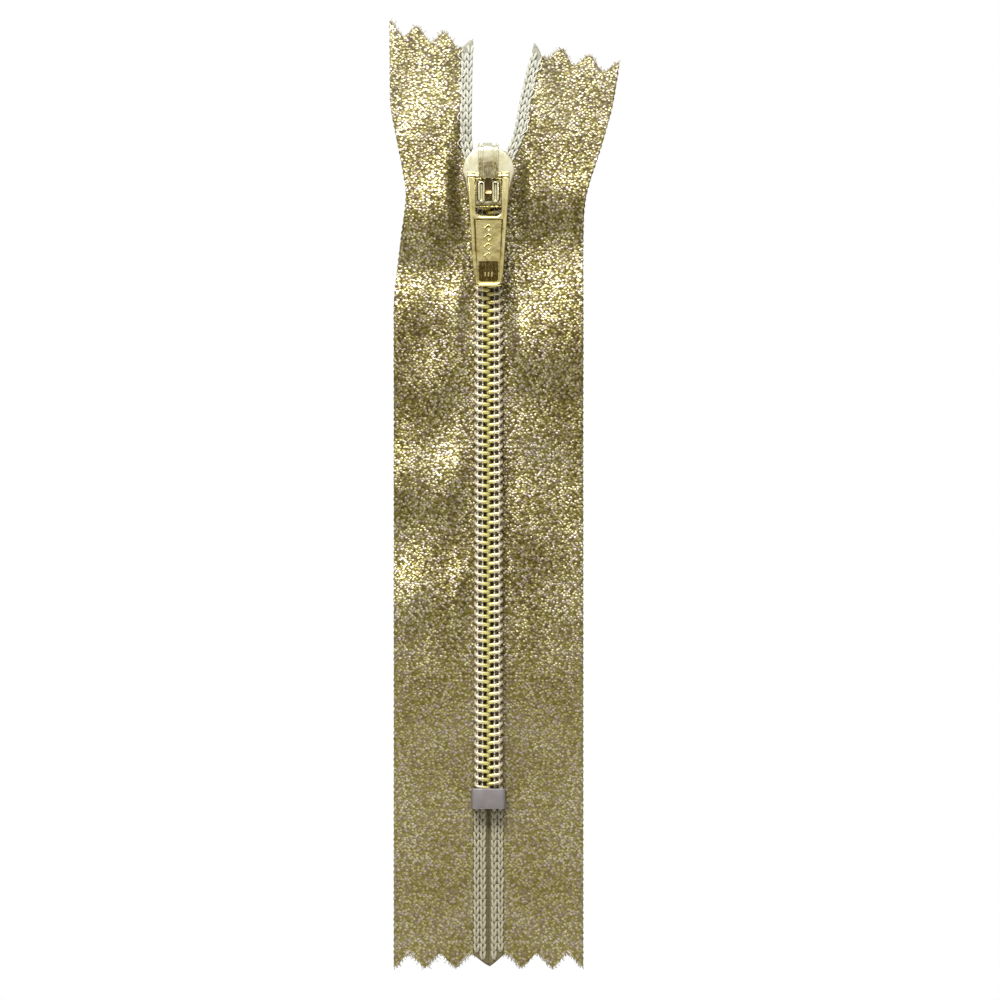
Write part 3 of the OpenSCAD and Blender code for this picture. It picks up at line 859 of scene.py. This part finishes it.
def coil(side):
    """One continuous wound wire, a little thicker at each head, where it was pressed."""
    x, y, z = coil_points(side_phase(side), 24)
    sides = 12
    head = 0.2
    outward = (x - LOOP_MIDDLE + LOOP_HALF) / (2 * LOOP_HALF)
    path = np.stack([SIGN[side] * (x + spread(z)), y, z], axis=-1)[None]
    radius = WIRE_R * (1 + 0.06 * smooth((head - outward) / head))[None]
    wire = tube(path, radius, up=(0, 0, 1), sides=sides)
    piece = build(side + "_coil_wire", [wire], NYLON, shade=np.repeat(outward, sides))
    sew_to(piece)
    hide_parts(side + "_coil")


def core_cord(side):
    """The filler cord inside the coil, laid from two plies."""
    z = np.arange(COIL_START, COIL_END, 0.12)
    lay = 2.4
    ply_radius = 0.16
    off_middle = 0.1
    plies = []
    for start in (0, math.pi):
        twist = 2 * math.pi * z / lay + start
        x = LOOP_MIDDLE + 0.1 + spread(z) + off_middle * np.cos(twist)
        plies.append(np.stack([SIGN[side] * x, LOOP_Y + off_middle * np.sin(twist), z], axis=-1))
    cord = tube(plies, ply_radius, up=(0, 1, 0), sides=8)
    piece = build(side + "_filler_cord", [cord], KHAKI_CORD)
    sew_to(piece)
    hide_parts(side + "_core_cord")


def needle_thread(side, row, x, leg_height):
    """A row of lock stitches: the thread goes over each turn of the coil and dips between the turns."""
    z = np.arange(0.1, COIL_END, COIL_PITCH / 14)
    first = COIL_START + WIRE_R + side_phase(side) + leg_height
    from_leg = abs((z - first + COIL_PITCH / 2) % COIL_PITCH - COIL_PITCH / 2)
    between = smooth((from_leg / (COIL_PITCH / 2) - 0.3) / 0.7)
    y = COIL_FRONT + 0.02 + 0.6 * between
    thickness = 0.05 + 0.06 * between
    sway = 0.03 * np.sin(2 * math.pi * z / (2 * COIL_PITCH))
    path = np.stack([SIGN[side] * (x + sway + spread(z)), y, z], axis=-1)[None]
    stitches = tube(path, thickness[None], up=(0, 1, 0), sides=8)
    piece = build(side + "_" + row + "_stitches", [stitches], WHITE_THREAD)
    sew_to(piece)
    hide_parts(side + "_" + row + "_needle_thread")


def looper_thread(side):
    """The chain stitch behind the tape: two strands that cross at every second turn of the coil."""
    z = np.arange(0.1, COIL_END, 0.12)
    seam = 1.22
    swing_width = 0.16
    strand_radius = 0.085
    strands = []
    for start in (0, math.pi):
        swing = 2 * math.pi * z / (4 * COIL_PITCH) + start
        x = seam + spread(z) + swing_width * np.sin(swing)
        y = TAPE_THICK + 0.15 + 0.05 * np.cos(2 * swing)
        strands.append(np.stack([SIGN[side] * x, y, z], axis=-1))
    stitch = tube(strands, strand_radius, up=(0, 1, 0), sides=8)
    piece = build(side + "_chain_stitch", [stitch], WHITE_THREAD)
    sew_to(piece)
    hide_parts(side + "_looper_thread")


def loose_thread(side):
    """A pulled end of white thread that wanders beside the edge band above the slider."""
    low, high = SLIDER_Z + 8.2, SLIDER_Z + TOP_HEIGHTS[side][0] - 1.5
    z = np.linspace(low, high, 90)
    wander = 0.34 * np.sin(1.55 * z + SIGN[side]) + 0.2 * np.sin(3.7 * z)
    x = inner_edge(side, z) + BAND_WIDTH - 0.15 + wander
    path = on_tape(side, x, z, -0.24 - 0.1 * np.sin(2.3 * z))[None]
    thread_radius = 0.075
    thread = tube(path, thread_radius, up=(0, 1, 0), sides=8)
    piece = build(side + "_loose_thread", [thread], WHITE_THREAD)
    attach(piece, side + "_half")


# ---- stops ----


def bottom_stop():
    """A pressed staple: a crowned strip over both coils, with two prongs clenched behind the tapes."""
    half = STOP_HIGH[0]
    front = STOP_LOW[1]
    low = STOP_LOW[2]
    back = STOP_HIGH[1]
    sheet = 0.48
    wall = 0.26
    r = 0.45
    prong_low, prong_high = -2.1, -0.6
    hoop = (arc(half - r, front + r, r, 0, -90, 6)[::-1] + [[half, -0.02], [half - wall, -0.02]]
            + [[half - wall, front + sheet], [wall - half, front + sheet]]
            + [[wall - half, -0.02], [-half, -0.02]] + arc(r - half, front + r, r, 180, 270, 6))
    parts = [pressed([hoop], low, 0, 0.12, 0.12, top_view)]
    for sign in (-1, 1):
        prong = pressed([rounded_box(half - wall, -0.2, half, back - 0.02, 0.05)],
                        prong_low, prong_high, 0.05, 0.05, top_view)
        foot = pressed([rounded_box(0.3, 0.47, half, back, 0.12)],
                       prong_low, prong_high, 0.08, 0.08, top_view)
        parts += [prong, foot] if sign > 0 else [mirrored(prong), mirrored(foot)]
    piece = build("pressed_bottom_stop", parts, STRIP, crease=35)
    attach(piece, "base")
    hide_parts("bottom_stop")


def top_stop(side):
    """A clip bent round the tape's inner edge above the last turn of the coil."""
    low, high = node_box(side + "_top_stop")
    inner, outer = sorted((abs(low[0]), abs(high[0])))
    web = 0.3
    clip = [[inner, low[1]], [outer, low[1]], [outer, -0.04], [inner + web, -0.04],
            [inner + web, TAPE_THICK + 0.02], [outer, TAPE_THICK + 0.02], [outer, high[1]],
            [inner, high[1]]]
    part = pressed([clip], low[2], high[2], 0.1, 0.1, top_view)
    part = part if SIGN[side] > 0 else mirrored(part)
    piece = build(side + "_top_clip", [part], STRIP, crease=35)
    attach(piece, side + "_half")
    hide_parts(side + "_top_stop")


# ---- slider ----

SHOULDER_H = BODY_TOP - SHOULDER_R
HINGE_H = 4.1
CROSSBAR_R = 0.5
PULL_THICK = 1.3
HINGE_Y = PLATE_FRONT - 0.3 - PULL_THICK / 2
SPRING_BACK = HINGE_Y - CROSSBAR_R - 0.05


def plate_outline(inset):
    """The slider's outline from in front: a narrow tail and round shoulders."""
    tail_half = 2.6
    x = tail_half - inset
    r = 0.3
    shoulders = arc(0, SHOULDER_H, SHOULDER_R - inset, -20, 200, 40)
    return np.array(arc(x - r, inset + r, r, -90, 0, 4) + shoulders
                    + arc(r - x, inset + r, r, 180, 270, 4))


def domed_plate(face, back, crown):
    """One plate of the slider, with rounded edges and a face that swells gently towards its middle."""
    direction = 1 if back > face else -1
    edge = 0.3
    levels = [(1, inset, depth) for inset, depth in edge_levels(face, direction, edge)]
    levels += [(1, inset, depth) for inset, depth in edge_levels(back, -direction, 0.12)[::-1]]
    domes = [(s, edge, face - direction * crown * (1 - s * s)) for s in np.linspace(0.12, 0.9, 8)]
    centre = np.array([0, SHOULDER_H - 0.6])
    rings = []
    for scale, inset, depth in domes + levels:
        rings.append(front_view(centre + scale * (plate_outline(inset) - centre), depth))
    return capped(rings)


def slider_body():
    """The casting: two plates, the diamond between them, side flanges, two ears and the spring's lug."""
    flange = [[2.15, 0.05], [2.5, 0.12], [2.6, 0.35], [3.29, SHOULDER_H - 1.2], [3.49, 4.6], [3.0, 4.6],
              [2.15, 1.4]]
    ear = (arc(1.03, 0.95, 0.35, -90, 0, 6) + arc(1.03, 3.1, 0.35, 0, 90, 6)
           + arc(0.8, 3.15, 0.3, 90, 180, 6) + arc(0.8, 0.9, 0.3, 180, 270, 6))
    parts = [domed_plate(PLATE_FRONT, PLATE_BACK, 0.12), domed_plate(REAR_BACK, REAR_FRONT, 0.08)]
    for outline, low, high, r, dish in (
            (flange, PLATE_BACK - 0.1, -0.3, 0.1, 0),
            (flange, 0.6, REAR_FRONT + 0.1, 0.06, 0),
            (ear, PLATE_FRONT - 1.75, PLATE_FRONT + 0.1, 0.15, 1.1)):
        wall = pressed([outline], low, high, r, r, front_view, dish)
        parts += [wall, mirrored(wall)]
    # Wedges on the front plate under the pull's window: one beside each ear, and one between the ears
    beside = [[0.35, PLATE_FRONT + 0.05], [3.5, PLATE_FRONT + 0.05], [3.5, PLATE_FRONT - 0.42]]
    between = [[0.35, PLATE_FRONT + 0.05], [2.2, PLATE_FRONT + 0.05], [2.2, PLATE_FRONT - 0.25]]
    wedge = pressed([beside], 0.42, 1.62, 0, 0, side_view)
    parts += [wedge, mirrored(wedge), pressed([between], -0.42, 0.42, 0, 0, side_view)]
    diamond = [[0, 4.0], [0.62, 6.2], [0.55, 8.1], [-0.55, 8.1], [-0.62, 6.2]]
    parts.append(pressed([diamond], PLATE_BACK - 0.1, REAR_FRONT + 0.1, 0, 0, front_view))
    lug = rounded_box(-0.85, 6.3, 0.85, 7.9, 0.15)
    parts.append(pressed([lug], SPRING_BACK + 0.03, PLATE_FRONT + 0.1, 0.1, 0, front_view))
    piece = build("slider_casting", parts, LIT_PLATING, crease=50)
    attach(piece, "slider")
    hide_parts("slider_body")


def slider_cap():
    """The pressed bridge over the crossbar, with a crowned roof and a groove along each edge."""
    roof = 0.48
    bend = 1.2
    spine = [[HINGE_H - 0.3, CAP_CROWN + 0.2], [4.6, CAP_CROWN + 0.13], [5.4, CAP_CROWN + 0.06],
             [5.8, CAP_CROWN + 0.02], [6.0, CAP_CROWN], [6.8, CAP_CROWN]]
    spine += arc(CAP_TOP - bend, CAP_CROWN + bend, bend, 270, 360, 12)
    spine += [[CAP_TOP, PLATE_FRONT - 0.6], [CAP_TOP, PLATE_FRONT - 0.02]]
    spine = np.array(spine)
    ahead = np.gradient(spine, axis=0)
    ahead /= np.linalg.norm(ahead, axis=1, keepdims=True)
    outwards = np.stack([ahead[:, 1], -ahead[:, 0]], axis=1)
    half = [[0.0, 0.0], [0.5, 0.01], [0.7, 0.06], [0.8, 0.26], [0.98, 0.28], [1.08, 0.07], [1.2, 0.04],
            [1.3, 0.1], [CAP_HALF, 0.22], [CAP_HALF, roof - 0.08], [CAP_HALF - 0.08, roof], [0.6, roof]]
    section = half + [[-x, sink] for x, sink in half[:0:-1]]
    rings = []
    for (h, y), (out_h, out_y) in zip(spine, outwards):
        rings.append([[x, y - out_y * sink, SLIDER_Z + h - out_h * sink] for x, sink in section])
    above_crossbar = HINGE_H + CROSSBAR_R + 0.15
    cheek = [[above_crossbar, CAP_CROWN + 0.45], [6.2, CAP_CROWN + 0.25],
             [CAP_TOP - 0.6, CAP_CROWN + 0.6], [CAP_TOP - 0.2, PLATE_FRONT - 0.01],
             [above_crossbar, PLATE_FRONT - 0.01]]
    wall = pressed([cheek[::-1]], CAP_HALF - 0.32, CAP_HALF - 0.02, 0.05, 0.05, side_view)
    parts = [capped(rings), wall, mirrored(wall)]
    piece = build("slider_bridge", parts, LIT_PLATING, crease=50)
    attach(piece, "slider")
    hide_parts("slider_cap")


def lock_spring():
    """A bent strip over the crossbar, whose claw drops through the front plate to the chain."""
    low, high = node_box("lock_spring")
    front = low[1]
    thick = 0.25
    foot = low[2] - SLIDER_Z
    profile = [[high[2] - SLIDER_Z, SPRING_BACK], [foot + 0.9, SPRING_BACK + 0.35],
               [foot + thick, SPRING_BACK + 0.35], [foot + thick, high[1]], [foot, high[1]],
               [foot, front + 0.25], [foot + 0.1, front + 0.08], [foot + 0.3, front + 0.1],
               [foot + 0.75, front + 0.45], [foot + 1.1, front + 0.42], [high[2] - SLIDER_Z, front]]
    strip = pressed([profile[::-1]], low[0], high[0], 0.05, 0.05, side_view)
    piece = build("spring_strip", [strip], BRASS, crease=35)
    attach(piece, "lock")
    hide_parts("lock_spring")


# ---- pull tab ----

PULL_FRONT = HINGE_Y - PULL_THICK / 2
PULL_BACK = HINGE_Y + PULL_THICK / 2
PULL_LENGTH = SLIDER_Z + HINGE_H - PULL_LOW[2]
PULL_TOP_HALF = PULL_HIGH[0]
PULL_END_HALF = 1.9
WINDOW_HALF = 1.73
WINDOW_LENGTH = 5.3


def pull_half(down):
    """Half of the pull's width at a distance below its hinge."""
    return PULL_TOP_HALF + (PULL_END_HALF - PULL_TOP_HALF) * down / PULL_LENGTH


def pull_view(flat, depth):
    """Points drawn from in front, as [x, height above the hinge]; depth is y."""
    return front_view(flat + np.array([0, HINGE_H]), depth)


def pull_tab():
    """A cast tab: a window under the hinge, then a sunk panel with a raised rim.

    The panel carries four hollow lozenges for grip, and a deep pocket with three ribs at its end.
    """
    corner = 0.45
    window_corner = 0.8
    panel_corner = 0.35
    end_half = pull_half(PULL_LENGTH)
    panel_top = WINDOW_LENGTH + 0.65
    panel_top_half = pull_half(panel_top) - 0.75
    panel_end_half = end_half - 0.5
    panel_floor = PULL_FRONT + 0.35
    pocket_half = 1.3
    pocket_top, pocket_end = 3.4 - PULL_LENGTH, 0.62 - PULL_LENGTH
    pocket_floor = PULL_BACK - 0.5

    foot = (arc(corner - end_half, corner - PULL_LENGTH, corner, 180, 270, 6)
            + arc(end_half - corner, corner - PULL_LENGTH, corner, 270, 360, 6))
    window = ([[WINDOW_HALF, -0.02]]
              + arc(WINDOW_HALF - window_corner, window_corner - WINDOW_LENGTH, window_corner, 0, -90, 8)
              + arc(window_corner - WINDOW_HALF, window_corner - WINDOW_LENGTH, window_corner,
                    -90, -180, 8)
              + [[-WINDOW_HALF, -0.02]])
    tab = foot + [[PULL_TOP_HALF, 0]] + window + [[-PULL_TOP_HALF, 0]]
    low = 0.5 + panel_corner - PULL_LENGTH
    panel = ([[panel_top_half, -panel_top]]
             + arc(panel_end_half - panel_corner, low, panel_corner, 0, -90, 6)
             + arc(panel_corner - panel_end_half, low, panel_corner, -90, -180, 6)
             + [[-panel_top_half, -panel_top]])
    pocket = rounded_box(-pocket_half, pocket_end, pocket_half, pocket_top, 0.4)[::-1]
    parts = [pressed([tab], pocket_floor, PULL_BACK, 0, 0.2, pull_view),
             pressed([tab, pocket], panel_floor, pocket_floor + 0.01, 0, 0, pull_view),
             pressed([tab, panel], PULL_FRONT, panel_floor + 0.01, 0.26, 0, pull_view)]
    # The pocket deepens towards its end
    ramp = np.array([[pocket_top, panel_floor + 0.05], [pocket_top, pocket_floor + 0.1],
                     [pocket_end, pocket_floor + 0.1], [pocket_end, pocket_floor - 0.02]])
    parts.append(pressed([ramp + np.array([HINGE_H, 0])], -pocket_half - 0.05, pocket_half + 0.05, 0, 0,
                         side_view))

    arm = (PULL_TOP_HALF - WINDOW_HALF) / 2
    hinge_z = SLIDER_Z + HINGE_H
    for sign in (-1, 1):
        middle = sign * (WINDOW_HALF + arm)
        knuckle = [[[middle + arm * t, HINGE_Y, hinge_z] for t in (-1, -0.9, -0.75, 0.75, 0.9, 1)]]
        radius = np.array([0.8, 0.94, 1, 1, 0.94, 0.8]) * PULL_THICK / 2
        parts.append(tube(knuckle, radius, (0, 0, 1), 32))
    bar = [[[x, HINGE_Y, hinge_z] for x in np.linspace(-WINDOW_HALF - 0.2, WINDOW_HALF + 0.2, 5)]]
    parts.append(tube(bar, CROSSBAR_R, (0, 0, 1), 24))

    half_wide, half_high = 0.72, 0.58
    for i in range(4):
        d = panel_top + 1.0 + 1.25 * i
        lozenge = [[-half_wide, -d], [0, -half_high - d], [half_wide, -d], [0, half_high - d]]
        parts.append(pressed([lozenge], PULL_FRONT + 0.14, panel_floor + 0.05, 0.07, 0, pull_view, 0.14))
    for x in (-0.45, 0, 0.45):
        rib = rounded_box(x - 0.1, pocket_end + 0.7, x + 0.1, pocket_end + 1.9, 0.08)
        parts.append(pressed([rib], pocket_floor - 0.2, pocket_floor + 0.1, 0.05, 0, pull_view))

    # The front face slopes back, so that the tab is thinner at its end
    taper = 0.3
    for points, _, _ in parts:
        down = np.clip((hinge_z - points[:, 2]) / PULL_LENGTH, 0, 1)
        points[:, 1] += taper * down * (points[:, 1] < panel_floor + 0.04)
    piece = build("pull", parts, SHADED_PLATING, crease=50)
    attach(piece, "pull")
    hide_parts("pull_tab")


# ---- light and floor ----


def hang_lamp(name, light, place, aim_height):
    """A lamp that faces the middle of the chain at a height; lamps are placed in metres."""
    lamp = bpy.data.objects.new(name, light)
    lamp.location = place
    towards = Vector((0, 0, aim_height)) - lamp.location
    lamp.rotation_euler = towards.to_track_quat("-Z", "Y").to_euler()
    bpy.context.scene.collection.objects.link(lamp)


def studio():
    """A white room with a pale floor, bright above the horizon and khaki below it, and three lamps."""
    scene = bpy.context.scene
    scene.view_settings.view_transform = "Standard"
    world = bpy.data.worlds.new("studio")
    scene.world = world
    world.use_nodes = True
    tree = world.node_tree
    tree.nodes.clear()
    direction = add(tree, "ShaderNodeTexCoord").outputs["Generated"]
    height = add(tree, "ShaderNodeSeparateXYZ", {"Vector": direction}).outputs["Z"]
    share = add(tree, "ShaderNodeMapRange", {"Value": height, "From Min": -1.0, "From Max": 1.0})
    sky = add(tree, "ShaderNodeValToRGB", {"Fac": share.outputs[0]}, stops=[
        (0.0, "#3d3212"), (0.40, "#4a3c14"), (0.47, "#94865a"), (0.508, "#ffffff"), (1.0, "#dfe2e6")])
    room = add(tree, "ShaderNodeBackground", {"Color": sky.outputs["Color"], "Strength": 1.0})
    white = add(tree, "ShaderNodeBackground", {"Color": linear("#ffffff"), "Strength": 1.0})
    to_camera = add(tree, "ShaderNodeLightPath").outputs["Is Camera Ray"]
    either = add(tree, "ShaderNodeMixShader", {0: to_camera, 1: room.outputs[0], 2: white.outputs[0]})
    add(tree, "ShaderNodeOutputWorld", {"Surface": either.outputs[0]})

    large = bpy.data.lights.new("key_lamp", "AREA")
    large.shape = "RECTANGLE"
    large.size = 0.25
    large.size_y = 0.18
    large.energy = 4.0
    small = bpy.data.lights.new("top_lamp", "AREA")
    small.size = 0.08
    small.energy = 0.24
    hang_lamp("key_lamp", large, (-0.16, -0.34, 0.42), 0.04)
    hang_lamp("rear_lamp", large, (0.2, 0.4, 0.3), 0.04)
    hang_lamp("top_lamp", small, (0.0, -0.16, 0.2), 0.1)

    mesh = bpy.data.meshes.new("floor")
    reach = 0.15
    level = -0.1
    mesh.from_pydata([(-reach, -reach, level), (reach, -reach, level), (reach, reach, level),
                      (-reach, reach, level)], [], [(0, 1, 2, 3)])
    paint, tree = new_material("floor_paint")
    speckle = add(tree, "ShaderNodeTexNoise", {"Scale": 4.0, "Detail": 2.0})
    tone = add(tree, "ShaderNodeValToRGB", {"Fac": speckle.outputs["Fac"]}, stops=[
        (0.3, "#ecebe8"), (0.7, "#f2f1ee")])
    matt = add(tree, "ShaderNodeBsdfPrincipled", {"Base Color": tone.outputs["Color"], "Roughness": 0.7})
    mesh.materials.append(finished(paint, matt))
    floor = bpy.data.objects.new("floor", mesh)
    scene.collection.objects.link(floor)


for side in ("left", "right"):
    cloth = glitter_tape(side)
    frayed_ends(side)
    coil(side)
    edge_band(side)
    core_cord(side)
    for row, x, leg_height in NEEDLE_ROWS:
        needle_thread(side, row, x, leg_height)
    looper_thread(side)
    loose_thread(side)
    top_stop(side)
bottom_stop()
slider_body()
slider_cap()
lock_spring()
pull_tab()
studio()
